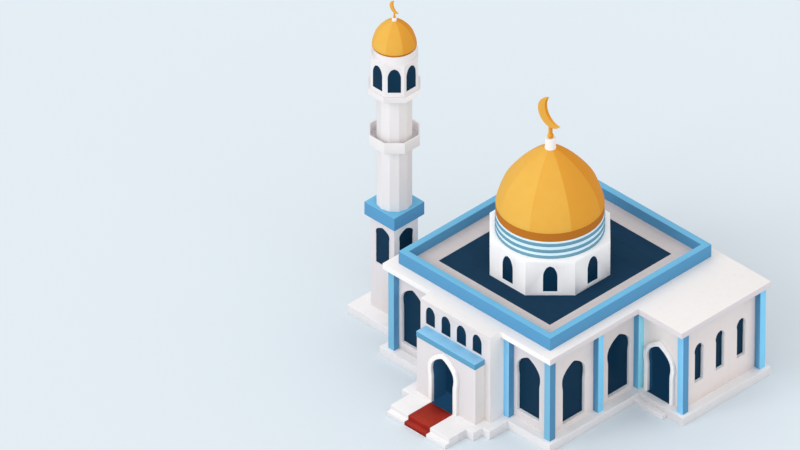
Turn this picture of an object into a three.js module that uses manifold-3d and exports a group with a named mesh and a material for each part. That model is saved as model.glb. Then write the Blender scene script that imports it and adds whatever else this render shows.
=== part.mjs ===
// A small domed mosque with one free-standing minaret, in millimetres, +Z up.
// The front with the entrance portal faces -Y and the side annex stands on +X.
// The origin is the centre of the prayer hall's plan, on the ground.

import * as THREE from 'three';
import { mergeVertices } from 'three/addons/utils/BufferGeometryUtils.js';
import Module from 'manifold-3d';

const wasm = await Module();
wasm.setup();

// Prayer hall
const HALL_X = 4830;
const HALL_Y = 5210;
const FLOOR = 460;
const WALL = 185;
const WALL_TOP = 4870;
const ROOF_TOP = 5170;
const PILASTER = 333;
const CORNER_LAP = 30;
const EAVES = 180;

// Roof deck, parapet and dome
const DECK_TOP = 5310;
const PARAPET_TOP = 5850;
const PARAPET_THICK = 340;
const DOME_Y = -340;
const DRUM_APOTHEM = 2728;
const DRUM_WALL = 300;
const DRUM_TOP = 7170;
const DRUM_LID = 150;
const BAND_RADIUS = 2475;
const BAND_INNER = 2250;
const BAND_RIDGE = 25;
const DOME_BASE = 8078;
const CRESCENT_Z = 13649;

// Entrance portal
const PORTAL_X = 2220;
const PORTAL_FRONT = -6410;
const PORTAL_TOP = 4970;
const PORCH_X = 1870;
const PORCH_FRONT = -6995;
const PORCH_TOP = 3520;
const CANOPY_TOP = 3822;
const CANOPY_LIP = 47;
const ENTRANCE_X = -110;
const SURROUND = 211;
const SURROUND_DEPTH = 155;

// Side annex
const ANNEX_X = 7640;
const ANNEX_FRONT = 515;
const ANNEX_DOOR_X = 6235;

// Steps and carpet
const RISER = 230;
const LANDING_X = [-1950, 1800];
const LANDING_FRONT = -8608;
const TREAD = 250;
const LEDGE_X = 2440;
const LEDGE_FRONT = -7390;
const CARPET_X = 686;
const CARPET_THICK = 20;
const CARPET_END = 65;

// Minaret
const MINARET_X = -7362;
const MINARET_Y = -2947;
const MINARET_BASE = 761;
const MINARET_BASE_WALL = 160;
const CAPITAL_BOTTOM = 5511;
const CAPITAL_TOP = 6206;
const CAPITAL_HALF = 967;
const SHAFT_APOTHEM = 811;
const SHAFT_WALL = 150;
const SHAFT_TURN = Math.PI / 12;
const GALLERY_APOTHEM = 1156;
const GALLERY_BOTTOM = 9656;
const GALLERY_FLOOR = 9772;
const GALLERY_TOP = 10228;
const GALLERY_PARAPET = 70;
const RING_BOTTOM = 12483;
const RING_TOP = 12783;
const RING_APOTHEM = 1184;
const LANTERN_APOTHEM = 1078;
const LANTERN_WALL = 130;
const LANTERN_TOP = 14478;
const COLLAR_TOP = 14878;
const COLLAR_RADIUS = 1028;
const COLLAR_INNER = 850;

const GLASS_THICK = 15;
const GLASS_LAP = 100;
const FIT_GAP = 0.3;

// The two domes: a round rim below, then a gored body that narrows to a flat seat.
// Swell and shoulder steer the body's curve, as shares of its radius and height.
const MAIN_DOME = {
  rim: 465, rimRadius: 2470, radius: 2570, height: 3109, shell: 200, seat: 250,
  swell: [0.865, 0.526], shoulder: [0.27, 0.969],
};
const SMALL_DOME = {
  rim: 90, rimRadius: 1010, radius: 1055, height: 1276, shell: 100, seat: 100,
  swell: [1.014, 0.15], shoulder: [0.704, 0.954],
};
const GORE_DRAW = 0.4;
const GORE_RISE = 0.4;

// Half widths of an arch's crown and how high up it they are, as shares of the whole
const KEEL_CROWN = [[0.988, 0.16], [0.95, 0.3], [0.87, 0.44], [0.75, 0.57], [0.6, 0.7], [0.42, 0.82], [0.2, 0.93]];
const SOFT_CROWN = [[0.96, 0.22], [0.87, 0.43], [0.75, 0.59], [0.63, 0.735], [0.44, 0.88]];

// Arched openings: half width, height, how far the arch swells past its jambs, and its rise
const MAIN_WINDOW = { half: 708, height: 3220, swell: 50, rise: 1417, crown: KEEL_CROWN };
const NARROW_WINDOW = { half: 275, height: 2110, swell: 26, rise: 560, crown: SOFT_CROWN };
const PORTAL_WINDOW = { half: 297, height: 1022, swell: 0, rise: 378, crown: SOFT_CROWN };
const MINARET_WINDOW = { half: 425, height: 2062, swell: 20, rise: 560, crown: KEEL_CROWN };
const DRUM_WINDOW = { half: 327, height: 1389, swell: 0, rise: 560, crown: SOFT_CROWN };
const LANTERN_WINDOW = { half: 303, height: 1294, swell: 0, rise: 478, crown: SOFT_CROWN };
const PORTAL_DOOR = { half: 669, height: 2740, swell: 56, rise: 1378, crown: KEEL_CROWN };
const ANNEX_DOOR = { half: 700, height: 2840, swell: 60, rise: 1430, crown: KEEL_CROWN };

// Where the openings stand
const FRONT_SILL = 883;
const SIDE_SILL = 640;
const NARROW_SILL = 1500;
const PORTAL_SILL = 3911;
const MINARET_SILL = 3039;
const DRUM_SILL = DECK_TOP + 211;
const LANTERN_SILL = RING_TOP + 194;
const FRONT_WINDOW_X = [-3935, 3456];
const SIDE_WINDOW_Y = [-3669, -758];
const BACK_WINDOW_X = [-3700, 0, 3456];
const ANNEX_WINDOW_Y = [1558, 2925, 4292];
const PORTAL_WINDOW_X = [-1488, -496, 496, 1488].map((x) => x + ENTRANCE_X);

function finish(hex, roughness, metalness = 0) {
  return () => new THREE.MeshStandardMaterial({ color: hex, roughness, metalness });
}

const plaster = finish(0xefedee, 0.8);
const stone = finish(0xe2dfe0, 0.85);
const blue = finish(0x63b1e2, 0.55);
const deckPaint = finish(0x163950, 0.9);
const glass = finish(0x15374f, 0.15);
const gold = finish(0xf0b046, 0.35, 0.6);
const carpetRed = finish(0xa02a26, 0.95);

const mosque = new THREE.Group();
mosque.name = 'mosque';

function add(name, geometry, material, parent = mosque) {
  const mesh = new THREE.Mesh(geometry, material());
  mesh.name = name;
  parent.add(mesh);
  return mesh;
}

// A plain block between two corners
function addBlock(name, low, high, material) {
  const size = high.map((value, i) => value - low[i]);
  const mesh = add(name, new THREE.BoxGeometry(...size), material);
  mesh.position.set(...low.map((value, i) => value + size[i] / 2));
  return mesh;
}

// A flat outline in plan, raised from one height to another
function raise(shape, bottom, top) {
  const geometry = new THREE.ExtrudeGeometry(shape, { depth: top - bottom, bevelEnabled: false });
  return geometry.translate(0, 0, bottom);
}

function outline(points) {
  return new THREE.Shape(points.map(([u, v]) => new THREE.Vector2(u, v)));
}

function rectangle(u0, u1, v0, v1) {
  return outline([[u0, v0], [u1, v0], [u1, v1], [u0, v1]]);
}

// Corners of a regular polygon with a flat side towards +X, or turned away from it
function polygon(sides, apothem, turn = 0) {
  const radius = apothem / Math.cos(Math.PI / sides);
  return Array.from({ length: sides }, (_, i) => {
    const angle = (2 * i + 1) * Math.PI / sides + turn;
    return [radius * Math.cos(angle), radius * Math.sin(angle)];
  });
}

function polygonRing(sides, apothem, inner, turn = 0) {
  const shape = outline(polygon(sides, apothem, turn));
  shape.holes.push(outline(polygon(sides, inner, turn)));
  return shape;
}

// A keel arch: straight jambs, a slight swell, then two curves that meet in a point.
// The points run from the left foot over the crown to the right foot.
function archPoints({ half, height, swell, rise, crown }, u = 0, v = 0) {
  const spring = height - rise;
  const shoulder = spring + (swell > 0 ? 0.35 * rise : 0);
  const bulge = swell > 0 ? [[0.18, 0.33], [0.78, 0.67], [1, 1]] : [];
  const right = [
    [half, 0], [half, spring],
    ...bulge.map(([out, up]) => [half + out * swell, spring + up * (shoulder - spring)]),
    ...crown.map(([out, up]) => [out * (half + swell), shoulder + up * (height - shoulder)]),
  ];
  const left = right.map(([x, z]) => [-x, z]);
  return [...left, [0, height], ...right.reverse()].map(([x, z]) => new THREE.Vector2(x + u, z + v));
}

// Turn an upright outline so that it runs along X, and its thickness along +Y
function standAlongX(geometry, front, thick) {
  return geometry.rotateX(Math.PI / 2).translate(0, front + thick, 0);
}

// Turn an upright outline so that it runs along Y, and its thickness along +X
function standAlongY(geometry, left) {
  const basis = new THREE.Matrix4().makeBasis(
    new THREE.Vector3(0, 1, 0), new THREE.Vector3(0, 0, 1), new THREE.Vector3(1, 0, 0));
  return geometry.applyMatrix4(basis).translate(left, 0, 0);
}

function wallShape(u0, u1, v0, v1, windows, arch, sill) {
  const shape = rectangle(u0, u1, v0, v1);
  for (const u of windows) shape.holes.push(new THREE.Path(archPoints(arch, u, sill)));
  return shape;
}

function thicken(shape, thick) {
  return new THREE.ExtrudeGeometry(shape, { depth: thick, bevelEnabled: false });
}

// Boolean cuts and joins
function toSolid(geometry) {
  const bare = geometry.clone();
  bare.deleteAttribute('normal');
  bare.deleteAttribute('uv');
  const merged = mergeVertices(bare, 1e-3);
  return new wasm.Manifold(new wasm.Mesh({
    numProp: 3,
    vertProperties: new Float32Array(merged.attributes.position.array),
    triVerts: new Uint32Array(merged.index.array),
  }));
}

function toGeometry(solid) {
  const mesh = solid.getMesh();
  const geometry = new THREE.BufferGeometry();
  geometry.setAttribute('position', new THREE.BufferAttribute(mesh.vertProperties, 3));
  geometry.setIndex(new THREE.BufferAttribute(mesh.triVerts, 1));
  const flat = geometry.toNonIndexed();
  flat.computeVertexNormals();
  return flat;
}

function cut(geometry, cutters) {
  return toGeometry(cutters.reduce((solid, cutter) => solid.subtract(toSolid(cutter)), toSolid(geometry)));
}

function join(geometries) {
  return toGeometry(geometries.map(toSolid).reduce((sum, solid) => sum.add(solid)));
}

function blockGeometry(low, high) {
  const size = high.map((value, i) => value - low[i]);
  const geometry = new THREE.BoxGeometry(...size);
  return geometry.translate(...low.map((value, i) => value + size[i] / 2));
}

// A long bar with an arched section, for cutting opposite windows in one go
function windowCutter(arch, sill, reach, angle) {
  const bar = thicken(new THREE.Shape(archPoints(arch, 0, sill)), 2 * reach);
  return standAlongX(bar, -reach, 2 * reach).rotateZ(angle);
}

function buildPlinths() {
  const hallX = HALL_X + PILASTER + EAVES;
  const leftX = hallX + 190;
  const hallY = HALL_Y + PILASTER + EAVES;
  const annexX = ANNEX_X + PILASTER + EAVES;
  const annexFront = ANNEX_FRONT - PILASTER - EAVES;
  const portalX = PORTAL_X + 474;
  const portalFront = PORTAL_FRONT - 504;
  const porchX = PORCH_X + 380;
  const porchFront = PORCH_FRONT - 519;
  const plan = outline([
    [-leftX, -hallY], [-LEDGE_X, -hallY], [-LEDGE_X, LEDGE_FRONT], [LANDING_X[0], LEDGE_FRONT],
    [LANDING_X[0], porchFront], [porchX, porchFront], [porchX, portalFront], [portalX, portalFront],
    [portalX, -hallY], [hallX, -hallY], [hallX, annexFront], [annexX, annexFront],
    [annexX, hallY], [-leftX, hallY],
  ]);
  add('main_plinth', raise(plan, 0, FLOOR), stone);

  const margin = MINARET_BASE + 764;
  const plinthY = [MINARET_Y - margin, MINARET_Y + margin];
  addBlock('minaret_plinth', [MINARET_X - margin, plinthY[0], 0], [-leftX, plinthY[1], FLOOR], stone);

  const steps = outline([
    [porchFront, 0], [porchFront, FLOOR], [LANDING_FRONT, FLOOR], [LANDING_FRONT, RISER],
    [LANDING_FRONT - TREAD, RISER], [LANDING_FRONT - TREAD, 0],
  ]);
  add('entrance_steps', standAlongY(thicken(steps, LANDING_X[1] - LANDING_X[0]), LANDING_X[0]), stone);

  addBlock('side_step', [hallX, annexFront - 1.2 * TREAD, 0],
    [ANNEX_DOOR_X + ANNEX_DOOR.half + SURROUND, annexFront, RISER], stone);

  const start = PORCH_FRONT - SURROUND_DEPTH - CARPET_THICK;
  const nosing = LANDING_FRONT - TREAD;
  const runner = outline([
    [start, FLOOR], [LANDING_FRONT, FLOOR], [LANDING_FRONT, RISER],
    [nosing, RISER], [nosing, CARPET_END], [nosing - CARPET_THICK, CARPET_END],
    [nosing - CARPET_THICK, RISER + CARPET_THICK],
    [LANDING_FRONT - CARPET_THICK, RISER + CARPET_THICK],
    [LANDING_FRONT - CARPET_THICK, FLOOR + CARPET_THICK],
    [start, FLOOR + CARPET_THICK],
  ]);
  add('entrance_carpet', standAlongY(thicken(runner, 2 * CARPET_X), ENTRANCE_X - CARPET_X), carpetRed);
}

// Window walls with one sheet of glass closing each wall from inside
function buildHallWalls() {
  const inner = HALL_Y - WALL;
  const reach = MAIN_WINDOW.half + MAIN_WINDOW.swell + GLASS_LAP;
  const sheet = (u0, u1, sill) => rectangle(
    u0, u1, sill - GLASS_LAP, Math.min(sill + MAIN_WINDOW.height + GLASS_LAP, WALL_TOP));

  FRONT_WINDOW_X.forEach((x, i) => {
    const side = ['left', 'right'][i];
    const [u0, u1] = [[-HALL_X, -PORTAL_X], [PORTAL_X, HALL_X]][i];
    const shape = wallShape(u0, u1, FLOOR, WALL_TOP, [x], MAIN_WINDOW, FRONT_SILL);
    add(`front_wall_${side}`, standAlongX(thicken(shape, WALL), -HALL_Y, WALL), plaster);
    const pane = sheet(Math.max(x - reach, WALL - HALL_X), x + reach, FRONT_SILL);
    add(`front_glass_${side}`, standAlongX(thicken(pane, GLASS_THICK), -inner, GLASS_THICK), glass);
  });

  const leftWindows = [...SIDE_WINDOW_Y, ...SIDE_WINDOW_Y.map((y) => -y)];
  const left = wallShape(-inner, inner, FLOOR, WALL_TOP, leftWindows, MAIN_WINDOW, SIDE_SILL);
  add('left_wall', standAlongY(thicken(left, WALL), -HALL_X), plaster);
  const leftPane = sheet(SIDE_WINDOW_Y[0] - reach, -SIDE_WINDOW_Y[0] + reach, SIDE_SILL);
  add('left_glass', standAlongY(thicken(leftPane, GLASS_THICK), -HALL_X + WALL), glass);

  const rightEnd = ANNEX_FRONT + WALL;
  const right = wallShape(-inner, rightEnd, FLOOR, WALL_TOP, SIDE_WINDOW_Y, MAIN_WINDOW, SIDE_SILL);
  add('right_wall', standAlongY(thicken(right, WALL), HALL_X - WALL), plaster);
  const rightPane = sheet(SIDE_WINDOW_Y[0] - reach, SIDE_WINDOW_Y[1] + reach, SIDE_SILL);
  add('right_glass', standAlongY(thicken(rightPane, GLASS_THICK), HALL_X - WALL - GLASS_THICK), glass);

  const back = wallShape(-HALL_X, ANNEX_X, FLOOR, WALL_TOP, BACK_WINDOW_X, MAIN_WINDOW, FRONT_SILL);
  add('back_wall', standAlongX(thicken(back, WALL), inner, WALL), plaster);
  const backPane = sheet(BACK_WINDOW_X[0] - reach, BACK_WINDOW_X[2] + reach, FRONT_SILL);
  add('back_glass', standAlongX(thicken(backPane, GLASS_THICK), inner - GLASS_THICK, GLASS_THICK), glass);
}

// A band of even width that follows a doorway
function surroundShape(arch, u, v) {
  const inner = archPoints(arch, u, v);
  const outer = inner.map((point, i) => {
    const before = inner[Math.max(i - 1, 0)];
    const after = inner[Math.min(i + 1, inner.length - 1)];
    const along = after.clone().sub(before).normalize();
    return new THREE.Vector2(point.x - along.y * SURROUND, point.y + along.x * SURROUND);
  });
  const crown = (inner.length - 1) / 2;
  outer[crown].y += 0.35 * SURROUND;
  return new THREE.Shape([...inner, ...outer.reverse()]);
}

function doorSpring(door) {
  return FLOOR + door.height - door.rise;
}

function buildAnnex() {
  const spring = doorSpring(ANNEX_DOOR);
  const back = ANNEX_FRONT + WALL;
  const jambs = [ANNEX_DOOR_X - ANNEX_DOOR.half, ANNEX_DOOR_X + ANNEX_DOOR.half];
  addBlock('annex_front_pier_left', [HALL_X, ANNEX_FRONT, FLOOR], [jambs[0], back, spring], plaster);
  addBlock('annex_front_pier_right', [jambs[1], ANNEX_FRONT, FLOOR], [ANNEX_X, back, spring], plaster);

  const arch = archPoints(ANNEX_DOOR, ANNEX_DOOR_X, FLOOR).filter((p) => p.y >= spring - 1);
  const over = new THREE.Shape([
    new THREE.Vector2(HALL_X, spring), ...arch, new THREE.Vector2(ANNEX_X, spring),
    new THREE.Vector2(ANNEX_X, WALL_TOP), new THREE.Vector2(HALL_X, WALL_TOP),
  ]);
  add('annex_front_arch', standAlongX(thicken(over, WALL), ANNEX_FRONT, WALL), plaster);

  const surround = thicken(surroundShape(ANNEX_DOOR, ANNEX_DOOR_X, FLOOR), SURROUND_DEPTH);
  add('annex_door_surround',
    standAlongX(surround, ANNEX_FRONT - SURROUND_DEPTH, SURROUND_DEPTH), plaster);

  const right = wallShape(back, HALL_Y - WALL, FLOOR, WALL_TOP, ANNEX_WINDOW_Y, NARROW_WINDOW, NARROW_SILL);
  add('annex_right_wall', standAlongY(thicken(right, WALL), ANNEX_X - WALL), plaster);
  const reach = NARROW_WINDOW.half + NARROW_WINDOW.swell + GLASS_LAP;
  const pane = rectangle(ANNEX_WINDOW_Y[0] - reach, ANNEX_WINDOW_Y[2] + reach,
    NARROW_SILL - GLASS_LAP, NARROW_SILL + NARROW_WINDOW.height + GLASS_LAP);
  add('annex_right_glass', standAlongY(thicken(pane, GLASS_THICK), ANNEX_X - WALL - GLASS_THICK), glass);
}

// The portal: a tall block with a lower porch in front, one keel-arched doorway through both
function buildPortal() {
  const spring = doorSpring(PORTAL_DOOR);
  const wallBack = PORTAL_FRONT + WALL;
  const sideInner = PORTAL_X - WALL;
  const hallInner = -HALL_Y + WALL;
  const eavesFront = -(HALL_Y + PILASTER + EAVES);

  for (const side of [-1, 1]) {
    const span = (a, b) => [Math.min(a, b), Math.max(a, b)];
    const jamb = ENTRANCE_X + side * PORTAL_DOOR.half;
    const [x0, x1] = span(side * sideInner, side * PORTAL_X);
    const [p0, p1] = span(jamb, side * (sideInner + WALL / 2));
    const [q0, q1] = span(jamb, side * PORCH_X);
    const body = join([
      blockGeometry([x0, PORTAL_FRONT, FLOOR], [x1, eavesFront, PORTAL_TOP]),
      blockGeometry([x0, eavesFront - WALL, FLOOR], [x1, hallInner, WALL_TOP]),
      blockGeometry([p0, PORTAL_FRONT, FLOOR], [p1, wallBack, spring]),
      blockGeometry([q0, PORCH_FRONT, FLOOR], [q1, wallBack, spring]),
    ]);
    add(`portal_pier_${side < 0 ? 'left' : 'right'}`, body, plaster);
  }

  const doorway = standAlongX(
    thicken(new THREE.Shape(archPoints(PORTAL_DOOR, ENTRANCE_X, FLOOR)), 7 * WALL), PORCH_FRONT - WALL, 7 * WALL);
  const windows = PORTAL_WINDOW_X.map((x) => standAlongX(
    thicken(new THREE.Shape(archPoints(PORTAL_WINDOW, x, PORTAL_SILL)), 3 * WALL),
    PORTAL_FRONT - WALL, 3 * WALL));
  const front = join([
    blockGeometry([-PORCH_X, PORCH_FRONT, spring], [PORCH_X, wallBack, PORCH_TOP]),
    blockGeometry([-sideInner, PORTAL_FRONT, spring], [sideInner, wallBack, PORTAL_TOP]),
  ]);
  add('portal_front', cut(front, [doorway, ...windows]), plaster);

  const surround = thicken(surroundShape(PORTAL_DOOR, ENTRANCE_X, FLOOR), SURROUND_DEPTH);
  add('portal_door_surround',
    standAlongX(surround, PORCH_FRONT - SURROUND_DEPTH, SURROUND_DEPTH), plaster);

  addBlock('portal_canopy', [-PORCH_X, PORCH_FRONT - CANOPY_LIP, PORCH_TOP],
    [PORCH_X, PORTAL_FRONT, CANOPY_TOP], blue);
  addBlock('portal_roof', [-PORTAL_X, PORTAL_FRONT, PORTAL_TOP], [PORTAL_X, eavesFront, ROOF_TOP], plaster);

  const reach = PORTAL_WINDOW.half + GLASS_LAP;
  const pane = rectangle(PORTAL_WINDOW_X[0] - reach, PORTAL_WINDOW_X[3] + reach,
    PORTAL_SILL - GLASS_LAP, PORTAL_TOP);
  add('portal_glass', standAlongX(thicken(pane, GLASS_THICK), wallBack, GLASS_THICK), glass);
}

// Square pilasters against the walls; the corner ones wrap the corner in an L
function buildPilasters() {
  const face = PILASTER;
  const post = (name, x0, y0) => addBlock(name, [x0, y0, FLOOR], [x0 + face, y0 + face, WALL_TOP], blue);
  const corner = (name, x, y, sx, sy) => {
    const plan = outline([
      [x - sx * CORNER_LAP, y + sy * face], [x + sx * face, y + sy * face],
      [x + sx * face, y - sy * CORNER_LAP], [x, y - sy * CORNER_LAP],
      [x, y], [x - sx * CORNER_LAP, y],
    ]);
    add(name, raise(plan, FLOOR, WALL_TOP), blue);
  };
  corner('pilaster_front_left', -HALL_X, -HALL_Y, -1, -1);
  corner('pilaster_front_right', HALL_X, -HALL_Y, 1, -1);
  corner('pilaster_annex_front', ANNEX_X, ANNEX_FRONT, 1, -1);
  corner('pilaster_annex_back', ANNEX_X, HALL_Y, 1, 1);
  corner('pilaster_back_left', -HALL_X, HALL_Y, -1, 1);

  const rightPost = -2253 - face / 2;
  post('pilaster_portal_left', -PORTAL_X - face, -HALL_Y - face);
  post('pilaster_portal_right', PORTAL_X, -HALL_Y - face);
  post('pilaster_right_middle', HALL_X, rightPost);
  post('pilaster_right_annex', HALL_X, ANNEX_FRONT - face);
  post('pilaster_left_front', -HALL_X - face, rightPost);
  post('pilaster_left_back', -HALL_X - face, -rightPost - face);
  post('pilaster_back_middle', -PORTAL_X - face, HALL_Y);
  post('pilaster_back_right', PORTAL_X - face, HALL_Y);
}

function buildRoofs() {
  const eavesX = HALL_X + PILASTER + EAVES;
  const eavesY = HALL_Y + PILASTER + EAVES;
  const well = polygon(8, DRUM_APOTHEM - DRUM_WALL).map(([x, y]) => [x, y + DOME_Y]);

  const slab = rectangle(-eavesX, eavesX, -eavesY, eavesY);
  slab.holes.push(outline(well));
  add('hall_roof_slab', raise(slab, WALL_TOP, ROOF_TOP), plaster);
  addBlock('annex_roof_slab', [eavesX, ANNEX_FRONT - PILASTER - EAVES - 65, WALL_TOP],
    [ANNEX_X + PILASTER + EAVES - 50, eavesY, ROOF_TOP], plaster);

  const deckX = HALL_X - PARAPET_THICK;
  const deckY = HALL_Y - PARAPET_THICK;
  const deck = rectangle(-deckX, deckX, -deckY, deckY);
  deck.holes.push(outline(well));
  add('roof_deck', raise(deck, ROOF_TOP, DECK_TOP), deckPaint);

  const parapet = rectangle(-HALL_X, HALL_X, -HALL_Y, HALL_Y);
  parapet.holes.push(rectangle(-deckX, deckX, -deckY, deckY));
  add('roof_parapet', raise(parapet, ROOF_TOP, PARAPET_TOP), blue);
}

// The upright curve of a dome's body, as (radius, height) points up to its flat seat
function domeCurve({ rim, height, swell, shoulder, seat }, radius, top) {
  const curve = new THREE.CubicBezierCurve(
    new THREE.Vector2(radius, rim), new THREE.Vector2(swell[0] * radius, rim + swell[1] * height),
    new THREE.Vector2(shoulder[0] * radius, rim + shoulder[1] * top), new THREE.Vector2(0, rim + top));
  const points = curve.getPoints(12);
  const last = points.findIndex((p) => p.x <= seat);
  const [before, after] = [points[last - 1], points[last]];
  const share = (before.x - seat) / (before.x - after.x);
  return [...points.slice(0, last), before.clone().lerp(after, share)];
}

function seatHeight(dome) {
  return domeCurve(dome, dome.radius, dome.height).at(-1).y;
}

// A shell of eight gores on a round rim, open below, with a flat seat on its crown
function domeGeometry(dome, segments) {
  const { rimRadius, radius, height, shell } = dome;
  const outer = domeCurve(dome, radius, height);
  const inner = domeCurve(dome, radius - shell, height - shell);
  const profile = [
    new THREE.Vector2(rimRadius - shell, 0), new THREE.Vector2(rimRadius, 0),
    new THREE.Vector2(rimRadius, dome.rim - FIT_GAP), ...outer, new THREE.Vector2(0, outer.at(-1).y),
    new THREE.Vector2(0, inner.at(-1).y), ...inner.reverse(), new THREE.Vector2(rimRadius - shell, 0),
  ];
  const geometry = new THREE.LatheGeometry(profile, segments);
  geometry.rotateX(Math.PI / 2).rotateZ(Math.PI / 8);
  return flattenGores(geometry, dome);
}

// Draw each eighth of the dome in towards the flat side of an octagon, above its round foot
function flattenGores(geometry, { rim, height }) {
  const places = geometry.attributes.position;
  const sector = Math.PI / 4;
  for (let i = 0; i < places.count; i += 1) {
    const rise = (places.getZ(i) - rim + FIT_GAP / 2) / (GORE_RISE * height);
    if (rise > 0) {
      const angle = Math.atan2(places.getY(i), places.getX(i));
      const local = angle - sector * Math.round(angle / sector);
      const flat = Math.cos(sector / 2) / THREE.MathUtils.lerp(1, Math.cos(local), Math.min(rise, 1));
      const scale = 1 + GORE_DRAW * (flat - 1);
      places.setXY(i, places.getX(i) * scale, places.getY(i) * scale);
    }
  }
  return geometry;
}

// A flat crescent whose horns open up and to the right
function crescentGeometry(radius, thick) {
  const tilt = THREE.MathUtils.degToRad(28.5);
  const shift = 0.759 * radius;
  const innerRadius = 1.085 * radius;
  const tipX = (radius ** 2 + shift ** 2 - innerRadius ** 2) / (2 * shift);
  const opening = Math.acos(tipX / radius);
  const innerStart = Math.atan2(radius * Math.sin(opening), tipX - shift);
  const shape = new THREE.Shape();
  shape.absarc(0, 0, radius, opening, 2 * Math.PI - opening, false);
  shape.absarc(shift, 0, innerRadius, -innerStart, innerStart, true);
  const flat = new THREE.Shape(shape.getPoints(20).map((p) => p.rotateAround(new THREE.Vector2(), tilt)));
  return standAlongX(thicken(flat, thick), -thick / 2, thick);
}

// Collar, ball and stem turned as one, with the crescent joined on
function finialGeometry(turned, radius, thick, centreX, centreZ) {
  const post = new THREE.LatheGeometry(turned.map(([r, z]) => new THREE.Vector2(r, z)), 24);
  post.rotateX(Math.PI / 2);
  return join([post, crescentGeometry(radius, thick).translate(centreX, 0, centreZ)]);
}

function buildDome() {
  const drum = new THREE.Group();
  drum.position.y = DOME_Y;
  mosque.add(drum);

  const inner = DRUM_APOTHEM - DRUM_WALL;
  const lid = outline(polygon(8, DRUM_APOTHEM));
  const eye = new THREE.Path();
  eye.absarc(0, 0, BAND_INNER, 0, 2 * Math.PI, true);
  lid.holes.push(eye);
  const walls = join([
    raise(polygonRing(8, DRUM_APOTHEM, inner), DECK_TOP, DRUM_TOP - DRUM_LID / 2),
    raise(lid, DRUM_TOP - DRUM_LID, DRUM_TOP),
  ]);
  const bars = [0, 1, 2, 3].map((i) => windowCutter(DRUM_WINDOW, DRUM_SILL, 1.3 * DRUM_APOTHEM, i * Math.PI / 4));
  add('dome_drum', cut(walls, bars), plaster, drum);
  add('drum_glass', raise(polygonRing(8, inner - FIT_GAP, inner - FIT_GAP - GLASS_THICK),
    DECK_TOP, DRUM_TOP - DRUM_LID - FIT_GAP), glass, drum);

  const height = DOME_BASE - DRUM_TOP;
  const ridge = BAND_RADIUS + BAND_RIDGE;
  const levels = [0, 0.17, 0.339, 0.52, 0.716, 0.896, 1].map((share) => share * height);
  const outer = levels.slice(0, -1).flatMap((z, i) => {
    const r = i % 2 === 0 ? ridge : BAND_RADIUS;
    return [new THREE.Vector2(r, z), new THREE.Vector2(r, levels[i + 1])];
  });
  const band = [new THREE.Vector2(BAND_INNER, 0), ...outer, new THREE.Vector2(BAND_INNER, height),
    new THREE.Vector2(BAND_INNER, 0)];
  add('dome_band', new THREE.LatheGeometry(band, 48).rotateX(Math.PI / 2).translate(0, 0, DRUM_TOP),
    plaster, drum);

  const shell = add('main_dome', domeGeometry(MAIN_DOME, 48), gold, drum);
  shell.position.z = DOME_BASE;

  const turned = [[0, 0], [262, 0], [262, 40], [245, 60], [245, 540], [225, 557], [110, 557], [132, 605],
    [145, 669], [132, 735], [95, 790], [95, 1400], [0, 1400]];
  const seat = DOME_BASE + seatHeight(MAIN_DOME);
  const finial = add('main_finial', finialGeometry(turned, 762, 161, 188, CRESCENT_Z - seat), gold, drum);
  finial.position.z = seat;
}

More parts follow.
